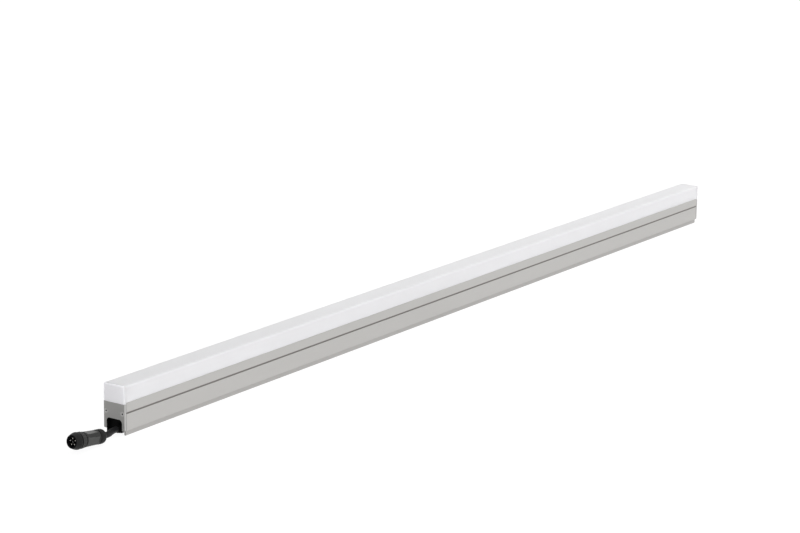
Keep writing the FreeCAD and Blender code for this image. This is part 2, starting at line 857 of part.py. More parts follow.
def place_on_plug(body):
    """Set a piece drawn along the plug's axis on the end of the lead."""
    places = beyond_socket(*PLUG_REAR)
    turn = FreeCAD.Rotation(FreeCAD.Vector(0, 0, 1), 180)
    rise = FreeCAD.Rotation(FreeCAD.Vector(0, 1, 0), -PLUG_RISE)
    base = FreeCAD.Vector(*(place.value for place in places))
    body.Placement = FreeCAD.Placement(base, turn.multiply(rise))
    for axis, place in zip("xyz", places):
        body.setExpression(f"Placement.Base.{axis}", place.formula)


def make_plug_body():
    """The moulded plug: domed rear, collar, tapered grip and the shroud round the contacts."""
    body = new_body("plug_body")
    ridge_radius = size["shroud_radius"] + size["ridge_height"]
    grip_radius = size["collar_radius"] - size["grip_step"]
    profile = new_sketch(body, "XY_Plane")
    draw_outline(profile, [
        (ZERO, ZERO),
        (ZERO, size["dome_radius"]),
        (size["dome_shoulder"], size["dome_shoulder_radius"]),
        (size["dome_length"], size["collar_radius"]),
        (size["collar_end"], size["collar_radius"]),
        (size["collar_end"] + size["grip_step"], grip_radius),
        (size["grip_end"], size["grip_front_radius"]),
        (size["grip_end"], size["shroud_radius"]),
        (size["ridge_start"], size["shroud_radius"]),
        (size["ridge_start"] + size["ridge_height"], ridge_radius),
        (size["ridge_start"] + size["ridge_length"], ridge_radius),
        (size["ridge_start"] + size["ridge_length"], size["shroud_radius"]),
        (size["shroud_end"], size["shroud_radius"]),
        (size["shroud_end"], size["shroud_bore"]),
        (size["shroud_floor"], size["shroud_bore"]),
        (size["shroud_floor"], ZERO),
    ])
    turned(body, profile, "H_Axis")
    place_on_plug(body)


def make_coupling_ring():
    """The coupling ring: ribbed sleeve and wide flange, held on the shroud by its ridge."""
    body = new_body("coupling_ring")
    bore = size["shroud_radius"] + size["ring_clearance"]
    trap = bore + size["ridge_height"]
    trap_start = size["ridge_start"] - size["ring_end_gap"]
    trap_end = size["ridge_start"] + size["ridge_length"] + size["ring_end_gap"]
    rear = size["grip_end"] + size["ring_end_gap"]
    rib_top = size["sleeve_radius"] + size["rib_height"]
    bevel_start = size["ring_front"] - size["flange_bevel_length"]
    profile = new_sketch(body, "XY_Plane")
    draw_outline(profile, [
        (rear, bore),
        (rear, size["sleeve_radius"]),
        (size["flange_start"], size["sleeve_radius"]),
        (size["flange_start"], size["flange_radius"]),
        (bevel_start, size["flange_radius"]),
        (size["ring_front"], size["flange_radius"] - size["flange_bevel"]),
        (size["ring_front"], bore),
        (trap_end, bore),
        (trap_end, trap),
        (trap_start, trap),
        (trap_start, bore),
    ])
    turned(body, profile, "H_Axis")
    lug = new_sketch(body, "YZ_Plane", (ZERO, ZERO, size["flange_start"]))
    half_lug = size["lug_width"] / 2
    lug_root = size["flange_radius"] - size["lug_height"]
    draw_box(lug, -half_lug, -size["flange_radius"] - size["lug_height"], half_lug, -lug_root)
    pad(body, lug, (bevel_start - size["flange_start"]) / 2)
    rib = new_sketch(body, "YZ_Plane", (ZERO, ZERO, rear))
    half_rib = size["rib_width"] / 2
    draw_box(rib, -half_rib, size["sleeve_radius"] - size["rib_height"], half_rib, rib_top)
    one_rib = pad(body, rib, size["flange_start"] - rear)
    repeat_round(body, [one_rib], SLEEVE_RIBS)
    place_on_plug(body)


def make_contact_insert():
    """The moulded disc at the bottom of the shroud, in which the contacts stand."""
    body = new_body("contact_insert")
    disc = new_sketch(body, "YZ_Plane", (ZERO, ZERO, size["shroud_floor"]))
    draw_circle(disc, ZERO, ZERO, size["shroud_bore"] - size["insert_clearance"])
    pad(body, disc, size["insert_thickness"])
    place_on_plug(body)


def make_contacts():
    """Five round contacts on a circle, with tapered tips, standing on the insert."""
    body = new_body("plug_contacts")
    turn = math.radians(FIRST_CONTACT)
    across = size["contact_circle"] * -math.sin(turn)
    up = size["contact_circle"] * math.cos(turn)
    foot = size["shroud_floor"] + size["insert_thickness"]
    front = size["shroud_end"] - size["contact_setback"]
    profile = new_sketch(body, "XY_Plane", (ZERO, across, up))
    draw_outline(profile, [
        (foot, ZERO),
        (foot, size["contact_radius"]),
        (front - size["contact_radius"], size["contact_radius"]),
        (front, size["contact_radius"] / 2),
        (front, ZERO),
    ])
    contact = turned(body, profile, "H_Axis")
    repeat_round(body, [contact], CONTACTS)
    place_on_plug(body)


def make_face_seal():
    """Flat silicone ring on the insert, round the contacts."""
    body = new_body("plug_face_seal")
    rim = size["shroud_bore"] - size["insert_clearance"]
    ring = new_sketch(body, "YZ_Plane", (ZERO, ZERO, size["shroud_floor"] + size["insert_thickness"]))
    draw_circle(ring, ZERO, ZERO, rim)
    draw_circle(ring, ZERO, ZERO, rim - size["face_seal_width"])
    pad(body, ring, size["face_seal_height"])
    place_on_plug(body)


def check_objects():
    """Stop if any object failed, or any piece is empty or not valid."""
    for item in doc.Objects:
        if "Invalid" in item.State or "Error" in item.State:
            raise RuntimeError(f"{item.Label} of {item.getParentGeoFeatureGroup()} failed: {item.State}")
    for name, item in nodes.items():
        shape = item.Shape
        if shape.isNull() or not shape.isValid() or shape.Volume <= 0:
            raise RuntimeError(f"{name} has no sound shape")


def write_parts():
    os.makedirs("parts", exist_ok=True)
    for name, item in nodes.items():
        item.Shape.exportStep(os.path.join("parts", f"{name}.step"))
        print(f"{name}: {len(item.Shape.Solids)} solid, {item.Shape.Volume:.1f} mm3")


make_housing()
make_cover()
for bar_end in (-1, 1):
    make_cover_end(bar_end)
    make_end_cap(bar_end)
    make_end_gasket(bar_end)
    make_cap_screws(bar_end)
    make_outlet_block(bar_end)
    make_outlet_gasket(bar_end)
    make_outlet_screw(bar_end)
    make_light_board(bar_end)
    make_lights(bar_end)
    make_driver_chips(bar_end)
    make_terminal(bar_end)
make_cores()
make_thermal_pad()
make_board_link()
make_boot()
make_lead()
make_plug_body()
make_coupling_ring()
make_contact_insert()
make_contacts()
make_face_seal()
doc.recompute()
check_objects()
write_parts()
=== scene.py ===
# %% [markdown]
# # An outdoor wall washer light
# A slim light bar for walls and ledges. Its body is one extruded aluminium profile, closed on top by
# an opal plastic cover and at its ends by grey caps. A short black lead comes out of the near cap and
# ends in a round plug with five contacts and a coupling ring that turns.
#
# The CAD model gives every rigid piece its size and place. This lesson dresses it: it adds the small
# moulded forms, the finishes, the light and the camera. One unit is a metre, X runs along the bar and
# Z is up.

# %% Load the CAD frame
import bmesh
import bpy
import math
from mathutils import Matrix, Vector


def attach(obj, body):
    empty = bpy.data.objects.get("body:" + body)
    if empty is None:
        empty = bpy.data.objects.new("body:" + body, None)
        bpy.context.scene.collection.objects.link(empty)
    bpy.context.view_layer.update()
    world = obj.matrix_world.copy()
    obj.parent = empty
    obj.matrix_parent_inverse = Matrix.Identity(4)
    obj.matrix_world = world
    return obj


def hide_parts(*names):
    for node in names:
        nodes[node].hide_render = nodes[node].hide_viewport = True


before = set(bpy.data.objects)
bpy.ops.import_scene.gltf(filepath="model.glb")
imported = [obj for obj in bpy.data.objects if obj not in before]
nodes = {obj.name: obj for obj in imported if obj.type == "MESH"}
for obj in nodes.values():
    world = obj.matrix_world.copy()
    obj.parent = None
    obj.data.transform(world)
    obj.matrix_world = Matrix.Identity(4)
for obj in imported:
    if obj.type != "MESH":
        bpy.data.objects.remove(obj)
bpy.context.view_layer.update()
MM = 0.001

# %% [markdown]
# ## Camera
# The photograph was taken with a long lens, from the left and a little above, so the bar hardly
# narrows towards its far end. The camera's place and turn come from a fit of the bar's straight
# edges. A long lens far away keeps the same perspective in a plain Blender camera.

# %% The camera
CAMERA_PLACE = Vector((-1.932446, -1.253981, 0.616231))
CAMERA_FORWARD = Vector((0.80252746, 0.54553563, -0.24153791))
CAMERA_UP = Vector((0.18990095, 0.15021895, 0.97024322))
FOCAL_PIXELS = 2417.8
FRAME_WIDTH = 800
SENSOR_WIDTH = 36.0

camera = bpy.data.objects.new("camera", bpy.data.cameras.new("camera"))
bpy.context.scene.collection.objects.link(camera)
right = CAMERA_FORWARD.cross(CAMERA_UP)
turn = Matrix((right, CAMERA_UP, -CAMERA_FORWARD)).transposed()
camera.matrix_world = Matrix.Translation(CAMERA_PLACE) @ turn.to_4x4()
camera.data.sensor_width = SENSOR_WIDTH
camera.data.lens = FOCAL_PIXELS * SENSOR_WIDTH / FRAME_WIDTH
camera.data.clip_end = 20
bpy.context.scene.camera = camera
bpy.context.scene.view_settings.view_transform = "Standard"
print(f"lens {camera.data.lens:.1f} mm")

# %% [markdown]
# ## Finishes as expressions
# Most finishes here are a base colour that a little noise makes uneven. Written node by node that
# hides the idea, so a small class wraps a socket and lets it be added and multiplied like a number.
# `Finish` holds one material and adds any other node in one call.


# %% A socket that works in expressions
class Value:
    """A shader socket with arithmetic: each operator adds one Math node."""

    def __init__(self, finish, socket):
        self.finish = finish
        self.socket = socket

    def math(self, operation, first, second):
        return self.finish.node("ShaderNodeMath", {"operation": operation}, first, second)

    def __add__(self, other):
        return self.math("ADD", self, other)

    def __radd__(self, other):
        return self.math("ADD", other, self)

    def __sub__(self, other):
        return self.math("SUBTRACT", self, other)

    def __rsub__(self, other):
        return self.math("SUBTRACT", other, self)

    def __mul__(self, other):
        return self.math("MULTIPLY", self, other)

    def __rmul__(self, other):
        return self.math("MULTIPLY", other, self)

    def __gt__(self, other):
        return self.math("GREATER_THAN", self, other)

    def __lt__(self, other):
        return self.math("LESS_THAN", self, other)

    def absolute(self):
        return self.math("ABSOLUTE", self, 0.0)


class Finish:
    """One material: its Principled shader, and the nodes that feed it."""

    def __init__(self, name, **constants):
        self.material = bpy.data.materials.new(name)
        self.material.use_nodes = True
        self.tree = self.material.node_tree
        self.shader = self.tree.nodes["Principled BSDF"]
        self.set(**constants)

    def node(self, kind, settings=None, *inputs, output=0, **named):
        """Add a node with its settings, then feed its inputs in order or by name."""
        made = self.tree.nodes.new(kind)
        for key, setting in (settings or {}).items():
            setattr(made, key, setting)
        for key, given in [*enumerate(inputs), *named.items()]:
            socket = made.inputs[key if isinstance(key, int) else key.replace("_", " ")]
            self.feed(socket, given)
        return Value(self, made.outputs[output])

    def feed(self, socket, given):
        if isinstance(given, Value):
            self.tree.links.new(given.socket, socket)
        else:
            socket.default_value = given

    def set(self, **inputs):
        """Feed the shader's own inputs, named with underscores for spaces."""
        for key, given in inputs.items():
            self.feed(self.shader.inputs[key.replace("_", " ")], given)

    def place(self):
        """The place on the piece in metres, which is also its place in the scene."""
        return self.node("ShaderNodeTexCoord", output="Object")

    def along(self, axis):
        """One coordinate of that place: 0 for X, 1 for Y, 2 for Z."""
        return self.node("ShaderNodeSeparateXYZ", {}, self.place(), output=axis)

    def noise(self, stretch, detail=2.0):
        """Noise in the piece's own space, its grain set along X, Y and Z by stretch, per metre."""
        along = self.node("ShaderNodeMapping", {"vector_type": "POINT"}, Vector=self.place(), Scale=stretch)
        return self.node("ShaderNodeTexNoise", {}, Vector=along, Scale=1.0, Detail=detail)

    def blend(self, amount, low, high):
        """A colour between two others."""
        mixed = self.node("ShaderNodeMix", {"data_type": "RGBA"}, amount, output=2)
        colour_low, colour_high = 6, 7
        self.feed(mixed.socket.node.inputs[colour_low], low)
        self.feed(mixed.socket.node.inputs[colour_high], high)
        return mixed

    def bump(self, height, distance, strength):
        """A normal that tilts with a height, which is distance metres deep."""
        return self.node("ShaderNodeBump", {}, Strength=strength, Distance=distance, Height=height)


print("shader maths ready")

# %% [markdown]
# ## Anodised aluminium
# The profile is pushed through a die, so it carries faint lines along its length, and anodising
# leaves it matt. Noise that is drawn out along X gives the lines. A second, broad noise lets the
# tone drift a little over the metre, as real anodising does. The groove and the lip below get
# painted shade, as they sit in shadow, so the height on the bar blends two darker tones in.

# %% The profile's finish
ALUMINIUM = (0.568, 0.557, 0.541, 1)
ALUMINIUM_DARK = (0.522, 0.513, 0.499, 1)
LIP_PAINTED_SHADE = (0.472, 0.462, 0.448, 1)
GROOVE_PAINTED_SHADE = (0.265, 0.252, 0.24, 1)
DIE_LINES = (4.0, 2600.0, 2600.0)
TONE_DRIFT = (7.0, 60.0, 60.0)
LINE_SHARE = 0.6             # how much of the tone's change comes from the lines, the rest from the drift
LINE_DEPTH, LINE_STRENGTH = 0.02 * MM, 0.3
ANODISED_ROUGHNESS, LINE_ROUGHNESS = 0.4, 0.16
GROOVE_LOW, GROOVE_HIGH = 18.55 * MM, 20.05 * MM
LIP_TOP = 4.25 * MM

anodised = Finish("anodised_aluminium", Metallic=0.3, Specular_IOR_Level=0.3)
lines = anodised.noise(DIE_LINES, detail=3.0)
drift = anodised.noise(TONE_DRIFT)
height = anodised.along(2)
uneven = lines * LINE_SHARE + drift * (1 - LINE_SHARE)
plain = anodised.blend(uneven, ALUMINIUM_DARK, ALUMINIUM)
# Painted shade: the lip below LIP_TOP is darker, as it faces down and gets less light.
with_lip_shade = anodised.blend(height < LIP_TOP, plain, LIP_PAINTED_SHADE)
# Painted shade: the colour inside the groove is darker, as shadow falls there.
in_groove = (height > GROOVE_LOW) * (height < GROOVE_HIGH)
anodised.set(
    Base_Color=anodised.blend(in_groove, with_lip_shade, GROOVE_PAINTED_SHADE),
    Roughness=lines * LINE_ROUGHNESS + ANODISED_ROUGHNESS,
    Normal=anodised.bump(lines, LINE_DEPTH, LINE_STRENGTH),
)
print("anodised aluminium for the profile")

# %% [markdown]
# ## Opal plastic
# The cover is milky acrylic: light enters it, scatters and comes out near by, which softens its
# edges. A little subsurface scattering does that. Its surface is satin, not glossy. Its upper face
# gets painted shade a little darker than its side, most of all near the lead, and its edges at both
# ends get painted shade too, so the height on the bar and the place along it blend those tones in.

# %% The cover's finish
OPAL = (0.893, 0.888, 0.906, 1)
OPAL_DEEP = (0.863, 0.858, 0.876, 1)
TOP_PAINTED_SHADE_NEAR = (0.755, 0.753, 0.765, 1)
TOP_PAINTED_SHADE_FAR = (0.825, 0.822, 0.835, 1)
TOP_START, TOP_RAMP = 41.5 * MM, 1.1 * MM
END_EDGE_PAINTED_SHADE = (0.76, 0.755, 0.77, 1)
EDGE_START, EDGE_RAMP = 499.1 * MM, 0.5 * MM
BAR_LENGTH = 1000.0 * MM
SCATTER_REACH = 2.5 * MM
CLOUDS = (14.0, 40.0, 40.0)
OPAL_ROUGHNESS, CLOUD_ROUGHNESS = 0.36, 0.08


def opal_finish(name, **constants):
    """Milky plastic with a cloudy tone, with painted shade on its upper face and along its end edges."""
    made = Finish(name, Subsurface_Weight=1.0, Subsurface_Scale=SCATTER_REACH,
                  Specular_IOR_Level=0.2, **constants)
    made.shader.subsurface_method = "BURLEY"
    made.shader.inputs["Subsurface Radius"].default_value = (1.0, 1.0, 1.0)
    cloud = made.noise(CLOUDS)
    along_bar = made.along(0) * (1 / BAR_LENGTH) + 0.5
    # Painted shade on the upper face, darkest near the lead and lighter towards the far end.
    upper = made.blend(along_bar, TOP_PAINTED_SHADE_NEAR, TOP_PAINTED_SHADE_FAR)
    on_top = (made.along(2) - TOP_START) * (1 / TOP_RAMP)
    plain = made.blend(on_top, made.blend(cloud, OPAL_DEEP, OPAL), upper)
    # Painted shade along the edges at both ends of the bar.
    at_end = (made.along(0).absolute() - EDGE_START) * (1 / EDGE_RAMP)
    made.set(
        Base_Color=made.blend(at_end, plain, END_EDGE_PAINTED_SHADE),
        Roughness=cloud * CLOUD_ROUGHNESS + OPAL_ROUGHNESS,
    )
    return made


opal = opal_finish("opal_plastic")
print("opal plastic ready")

# %% [markdown]
# The plate at the near end faces away from the light, but it is as pale as the rest: light that enters
# the cover elsewhere leaves through it. A weak glow stands for that light. It fades a little towards
# the back, where less light enters.

# %% The near end plate's finish
GLOW_FRONT = (0.27, 0.267, 0.281, 1)
GLOW_BACK = (0.228, 0.226, 0.238, 1)
NO_GLOW = (0, 0, 0, 1)
BAR_WIDTH = 22.0 * MM
FACE_START, FACE_RAMP = -499.85 * MM, 0.12 * MM

opal_end = opal_finish("opal_plastic_end", Emission_Strength=1.0)
across_bar = opal_end.along(1) * (1 / BAR_WIDTH) + 0.5
glow = opal_end.blend(across_bar, GLOW_FRONT, GLOW_BACK)
near_face = (FACE_START - opal_end.along(0)) * (1 / FACE_RAMP)
opal_end.set(Emission_Color=opal_end.blend(near_face, NO_GLOW, glow))
print("end plate glows by", GLOW_BACK[0], "to", GLOW_FRONT[0])

# %% [markdown]
# ## The plain finishes
# The outlet and the lead are rubber, and the plug is moulded plastic with a fine grain. They differ in
# colour, gloss and grain only, so one function makes them all from a table. The plug's flats get a
# paler painted sheen and the upper one a painted highlight. The ring's gaps and the plug's shroud get
# painted shade.

# %% Finishes with a grain
GRAIN_ROUGHNESS = 0.12       # how far the roughness changes from grain to grain
GRAIN_STRENGTH = 0.4


def grained(name, colour, deep, roughness, grain, depth, settings=None):
    """A finish whose colour and gloss vary with a fine grain."""
    made = Finish(name, **(settings or {}))
    speckle = made.noise((grain, grain, grain), detail=3.0)
    made.set(
        Base_Color=made.blend(speckle, (*deep, 1), (*colour, 1)),
        Roughness=speckle * GRAIN_ROUGHNESS + (roughness - GRAIN_ROUGHNESS / 2),
        Normal=made.bump(speckle, depth * MM, GRAIN_STRENGTH),
    )
    return made.material


DULL = {"Specular_IOR_Level": 0.12}
MATT = {"Specular_IOR_Level": 0.04}
METAL = {"Metallic": 1.0}
GRAINED = {
    # colour, deeper colour, roughness, grains for each metre, their depth in mm, further settings
    "black_rubber": ((0.006, 0.006, 0.006), (0.004, 0.004, 0.004), 0.7, 1800, 0.03, MATT),
    "black_cable": ((0.018, 0.018, 0.019), (0.013, 0.013, 0.014), 0.45, 1500, 0.02, DULL),
    "black_plastic": ((0.04, 0.04, 0.039), (0.031, 0.031, 0.03), 0.42, 2200, 0.04, DULL),
    # painted sheen: the grip's flats are paler, as if they catch reflected light
    "black_plastic_painted_sheen": ((0.092, 0.093, 0.09), (0.07, 0.071, 0.069), 0.4, 2200, 0.04, DULL),
    # painted highlight: the upper flat is palest, as it faces the light
    "black_plastic_painted_highlight": ((0.14, 0.14, 0.136), (0.11, 0.11, 0.107), 0.4, 2200, 0.04, DULL),
    "black_ring": ((0.02, 0.02, 0.02), (0.015, 0.015, 0.015), 0.45, 2200, 0.04, DULL),
    "black_sleeve": ((0.056, 0.056, 0.055), (0.045, 0.045, 0.044), 0.45, 2200, 0.04, DULL),
    # painted shade: the ring's narrow gaps, where shadow falls
    "ring_gap_painted_shade": ((0.004, 0.004, 0.004), (0.003, 0.003, 0.003), 0.7, 2200, 0.02, MATT),
    # the contact insert's own black, also laid on the plug's shroud as painted shade
    "black_insert": ((0.005, 0.005, 0.006), (0.003, 0.003, 0.004), 0.6, 2000, 0.02, MATT),
    "silicone": ((0.3, 0.3, 0.29), (0.26, 0.26, 0.25), 0.6, 900, 0.02),
    "thermal_pad": ((0.22, 0.24, 0.28), (0.18, 0.2, 0.24), 0.8, 1200, 0.03),
    "board_white": ((0.75, 0.76, 0.74), (0.7, 0.71, 0.69), 0.3, 600, 0.01),
    "chip_black": ((0.03, 0.03, 0.032), (0.02, 0.02, 0.021), 0.5, 3000, 0.02),
    "white_plastic": ((0.74, 0.74, 0.71), (0.68, 0.68, 0.65), 0.4, 1500, 0.02),
    "light_package": ((0.8, 0.79, 0.74), (0.74, 0.73, 0.68), 0.35, 2000, 0.01),
    "phosphor": ((0.75, 0.55, 0.12), (0.68, 0.48, 0.09), 0.35, 2500, 0.01),
    "core_insulation": ((0.35, 0.05, 0.04), (0.28, 0.04, 0.03), 0.35, 1500, 0.01),
    "plated_brass": ((0.6, 0.585, 0.54), (0.54, 0.525, 0.48), 0.3, 3000, 0.01, METAL),
}
finishes = {name: grained(name, *values) for name, values in GRAINED.items()}
print(len(finishes), "plain finishes")

# %% [markdown]
# ## Cap paint
# The caps are cast and painted as light as the aluminium, and their narrow sides lie flush with the
# profile. The flat face, which looks away from the light, gets a darker painted shade.

# %% The caps' finish
CAP_SIDE = (0.56, 0.555, 0.545, 1)
CAP_SIDE_DEEP = (0.52, 0.515, 0.505, 1)
CAP_FACE_PAINTED_SHADE = (0.468, 0.462, 0.452, 1)
CAP_FACE_PAINTED_SHADE_DEEP = (0.435, 0.43, 0.42, 1)
CAP_FACE_START = 499.9 * MM
CAP_GRAIN, CAP_GRAIN_DEPTH = 2500.0, 0.02 * MM
CAP_ROUGHNESS = 0.5

cap_paint = Finish("cap_grey", **DULL)
speckle = cap_paint.noise((CAP_GRAIN, CAP_GRAIN, CAP_GRAIN), detail=3.0)
on_face = cap_paint.along(0).absolute() > CAP_FACE_START
side_tone = cap_paint.blend(speckle, CAP_SIDE_DEEP, CAP_SIDE)
# Painted shade: the flat face is darker, as it looks away from the light.
face_painted_shade = cap_paint.blend(speckle, CAP_FACE_PAINTED_SHADE_DEEP, CAP_FACE_PAINTED_SHADE)
cap_paint.set(
    Base_Color=cap_paint.blend(on_face, side_tone, face_painted_shade),
    Roughness=speckle * GRAIN_ROUGHNESS + (CAP_ROUGHNESS - GRAIN_ROUGHNESS / 2),
    Normal=cap_paint.bump(speckle, CAP_GRAIN_DEPTH, GRAIN_STRENGTH),
)
print("cap paint ready")

# %% [markdown]
# ## Screws
# The cap screws are stainless steel. A cross is struck deep into each head, and no light reaches its
# bottom, so the middle of a head is dark. The distance from the screw's axis picks that middle.

# %% The screws' finish
STEEL = (0.45, 0.445, 0.44, 1)
STEEL_RECESS = (0.06, 0.06, 0.06, 1)
SCREW_SIDE, SCREW_HEIGHT, RECESS_RADIUS = 8.7 * MM, 18.7 * MM, 0.85 * MM
BRUSH_GRAIN = (900.0, 900.0, 900.0)
STEEL_ROUGHNESS, BRUSH_ROUGHNESS = 0.25, 0.15

steel = Finish("stainless_steel", Metallic=0.9)
aside = steel.along(1).absolute() - SCREW_SIDE
above = steel.along(2) - SCREW_HEIGHT
in_middle = aside * aside + above * above < RECESS_RADIUS ** 2
brushed = steel.noise(BRUSH_GRAIN)
steel.set(
    Base_Color=steel.blend(in_middle, STEEL, STEEL_RECESS),
    Roughness=brushed * BRUSH_ROUGHNESS + STEEL_ROUGHNESS,
)
print("steel with dark recesses ready")

# %% [markdown]
# ## Dress the CAD nodes
# Many CAD pieces already have their real shape: the profile, the cover, the caps, the gaskets and
# the screws. They only need a finish, so it goes straight into their material slots.

# %% Give every carried-over node its finish
FINISH_OF = {
    "housing_profile": anodised.material,
    "opal_cover": opal.material,
    "near_cover_end": opal_end.material,
    "cover_end": opal.material,
    "end_cap": cap_paint.material,
    "end_gasket": finishes["silicone"],
    "cap_screws": steel.material,
    "outlet_block": finishes["black_rubber"],
    "outlet_gasket": finishes["silicone"],
    "outlet_screw": steel.material,
    "light_board": finishes["board_white"],
    "driver_chips": finishes["chip_black"],
    "terminal": finishes["white_plastic"],
    "board_link": finishes["white_plastic"],
    "thermal_pad": finishes["thermal_pad"],
    "cores": finishes["core_insulation"],
    "contact_insert": finishes["black_insert"],
    "plug_face_seal": finishes["silicone"],
}


def finish_for(node):
    """The finish of a node by its own name, or by its name without the end that it is at."""
    piece = node.removeprefix("near_").removeprefix("far_")
    return FINISH_OF.get(node, FINISH_OF.get(piece))


for name, node in nodes.items():
    finish = finish_for(name)
    if finish:
        node.data.materials.clear()
        node.data.materials.append(finish)
print("finishes set on", sum(bool(finish_for(name)) for name in nodes), "nodes")

# %% [markdown]
# ## The lead
# The lead is soft, 5.2 mm thick, and short: it runs through its boot, crosses a little and rises to
# the plug. A NURBS curve through a few listed control points bends as such a lead does, with no
# flat spots. Its first points are inside the boot.

# %% The lead as one NURBS curve
LEAD_DIAMETER = 5.2 * MM
LEAD_ROUTE = [
    (-0.48485, -0.0032, 0.0052),
    (-0.491233, -0.0032, 0.0052),
    (-0.497617, -0.0032, 0.0052),
    (-0.504, -0.0032, 0.0052),
    (-0.5094, -0.0047, 0.0053),
    (-0.5143, -0.00705, 0.00545),
    (-0.519231, -0.008, 0.005688),
    (-0.5234, -0.008, 0.0062),
]

curve = bpy.data.curves.new("lead_curve", "CURVE")
curve.dimensions = "3D"
curve.bevel_depth = LEAD_DIAMETER / 2
curve.bevel_resolution = 8
curve.resolution_u = 12
curve.use_fill_caps = True
spline = curve.splines.new("NURBS")
spline.points.add(len(LEAD_ROUTE) - 1)
for point, place in zip(spline.points, LEAD_ROUTE):
    point.co = (*place, 1)
spline.order_u = 3
spline.use_endpoint_u = True
lead = bpy.data.objects.new("lead_cable", curve)
bpy.context.scene.collection.objects.link(lead)
lead.data.materials.append(finishes["black_cable"])
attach(lead, "lamp")
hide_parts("lead")
print("lead through", len(LEAD_ROUTE), "points")

# %% [markdown]
# ## Turned pieces
# The boot, the plug and its ring are all round, so each starts as half a section that is spun about
# its own axis. `spun` spins a section, and `as_object` sets it where the axis runs on the object. A
# section is a list of places along the axis and radii in millimetres, closed on itself.

# %% Spin a profile
AXIS_STEPS = 96
SMOOTH_ANGLE = math.radians(35)
PLUG_REAR = Vector(LEAD_ROUTE[-1])
PLUG_RISE = math.radians(7)
plug_turn = Matrix.Rotation(math.pi, 4, "Z") @ Matrix.Rotation(-PLUG_RISE, 4, "Y")
PLUG_PLACE = Matrix.Translation(PLUG_REAR) @ plug_turn
BOOT_PLACE = Matrix.Translation(Vector((-0.5, -0.0032, 0.0052)))


def arc(centre, radius, start, stop, steps):
    """Points on an arc in the section, angles in degrees from the axis direction."""
    turns = (math.radians(start + (stop - start) * k / steps) for k in range(steps + 1))
    return [(centre[0] + radius * math.cos(t), centre[1] + radius * math.sin(t)) for t in turns]


def spun(section, reshape=None, steps=AXIS_STEPS):
    """A mesh of the section spun about X. With reshape, each point's radius also changes by its turn."""
    made = bmesh.new()
    rings = []
    for along, radius in section:
        ring = []
        for step in range(steps):
            angle = 2 * math.pi * step / steps
            out = radius if reshape is None else reshape(along, radius, angle)
            ring.append(made.verts.new(Vector((along, -out * math.sin(angle), out * math.cos(angle))) * MM))
        rings.append(ring)
    for one, two in zip(rings, rings[1:] + rings[:1]):
        for k in range(steps):
            following = (k + 1) % steps
            made.faces.new((one[k], one[following], two[following], two[k]))
    bmesh.ops.remove_doubles(made, verts=made.verts, dist=1e-7)
    bmesh.ops.dissolve_degenerate(made, edges=made.edges, dist=1e-8)
    bmesh.ops.recalc_face_normals(made, faces=made.faces)
    return made


def as_object(made, name, place, finish):
    """Turn a mesh in the piece's own space into an object at the origin, with its place in its mesh."""
    bmesh.ops.transform(made, matrix=place, verts=made.verts)
    mesh = bpy.data.meshes.new(name)
    made.to_mesh(mesh)
    made.free()
    mesh.materials.append(finish)
    mesh.shade_smooth()
    mesh.set_sharp_from_angle(angle=SMOOTH_ANGLE)
    piece = bpy.data.objects.new(name, mesh)
    bpy.context.scene.collection.objects.link(piece)
    print(name, len(mesh.polygons), "faces")
    return piece


print("spinning about axes in", AXIS_STEPS, "steps")

# %% [markdown]
# ## Boot
# The boot keeps water out of the outlet and saves the lead from a sharp bend. Outside the outlet it
# narrows in two shallow steps towards the lead, and its mouth is rounded.

# %% The boot round the lead
BOOT_BORE = 2.62
boot_section = [
    (15.1, BOOT_BORE), (15.1, 3.55), (3.2, 3.55), (3.2, 4.1), (3.0, 4.2), (2.5, 4.2), (2.2, 4.1),
    (2.0, 3.85), (1.7, 3.75), (1.5, 3.85), (1.2, 3.85), (0.9, 3.6), (0.6, 3.5), (0.4, 3.58),
    *arc((-0.35, 3.0), 0.45, 60, 180, 6), (-0.75, BOOT_BORE + 0.1), (-0.6, BOOT_BORE),
]
boot = as_object(spun(boot_section), "boot_moulded", BOOT_PLACE, finishes["black_rubber"])
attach(boot, "lamp")
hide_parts("lead_boot")

# %% [markdown]
# ## Plug
# The plug is moulded round the end of the lead. At its rear is a dome, then a collar with a narrow
# groove, and a grip that widens towards the ring. Four flats are cut along the grip for the fingers.
# Each flat lies at one distance from the axis, so it widens where the grip does. In front is the
# thin shroud round the contacts. The collar gets a tone of its own. The flats get a paler painted
# sheen, the upper one a painted highlight, and the shroud a painted shade.

# %% The plug's moulded body
GRIP_START, GRIP_FRONT, GRIP_STEPS = 8.5, 24.9, 56
GRIP_REAR_RADIUS, GRIP_FLARE = 6.1, 0.45
FLATS = 4
FLAT_START, FLAT_END = 9.6, 24.2
FLAT_DISTANCE = 5.5
FLAT_FIRST = math.radians(82.5)
FLAT_SLANT = 3.0             # mm that a flat's front end slopes, for each radian of turn
RUN_OUT = 0.7
UPWARDS = 0.7                # share of the way up, above which a flat counts as the upper one


def ramp(distance, softness):
    """0 outside, 1 inside, and a smooth step between."""
    share = max(0.0, min(1.0, distance / softness))
    return share * share * (3 - 2 * share)


def off_flat(angle):
    """The turn from the middle of the nearest flat."""
    part = 2 * math.pi / FLATS
    return (angle - FLAT_FIRST + part / 2) % part - part / 2


def with_flats(along, radius, angle):
    """Cut the grip's flats into its surface, with soft ends."""
    if not (FLAT_START < along < FLAT_END and radius > FLAT_DISTANCE):
        return radius
    off = off_flat(angle)
    flat = FLAT_DISTANCE / math.cos(off)
    front = FLAT_END + FLAT_SLANT * min(0.0, off)
    ends = ramp(along - FLAT_START, RUN_OUT) * ramp(front - along, RUN_OUT)
    return radius - max(0.0, radius - flat) * ends


def grip_radius(along):
    """The grip's outline, which widens more and more towards the ring."""
    share = (along - GRIP_START) / (GRIP_FRONT - GRIP_START)
    return GRIP_REAR_RADIUS + GRIP_FLARE * share ** 2


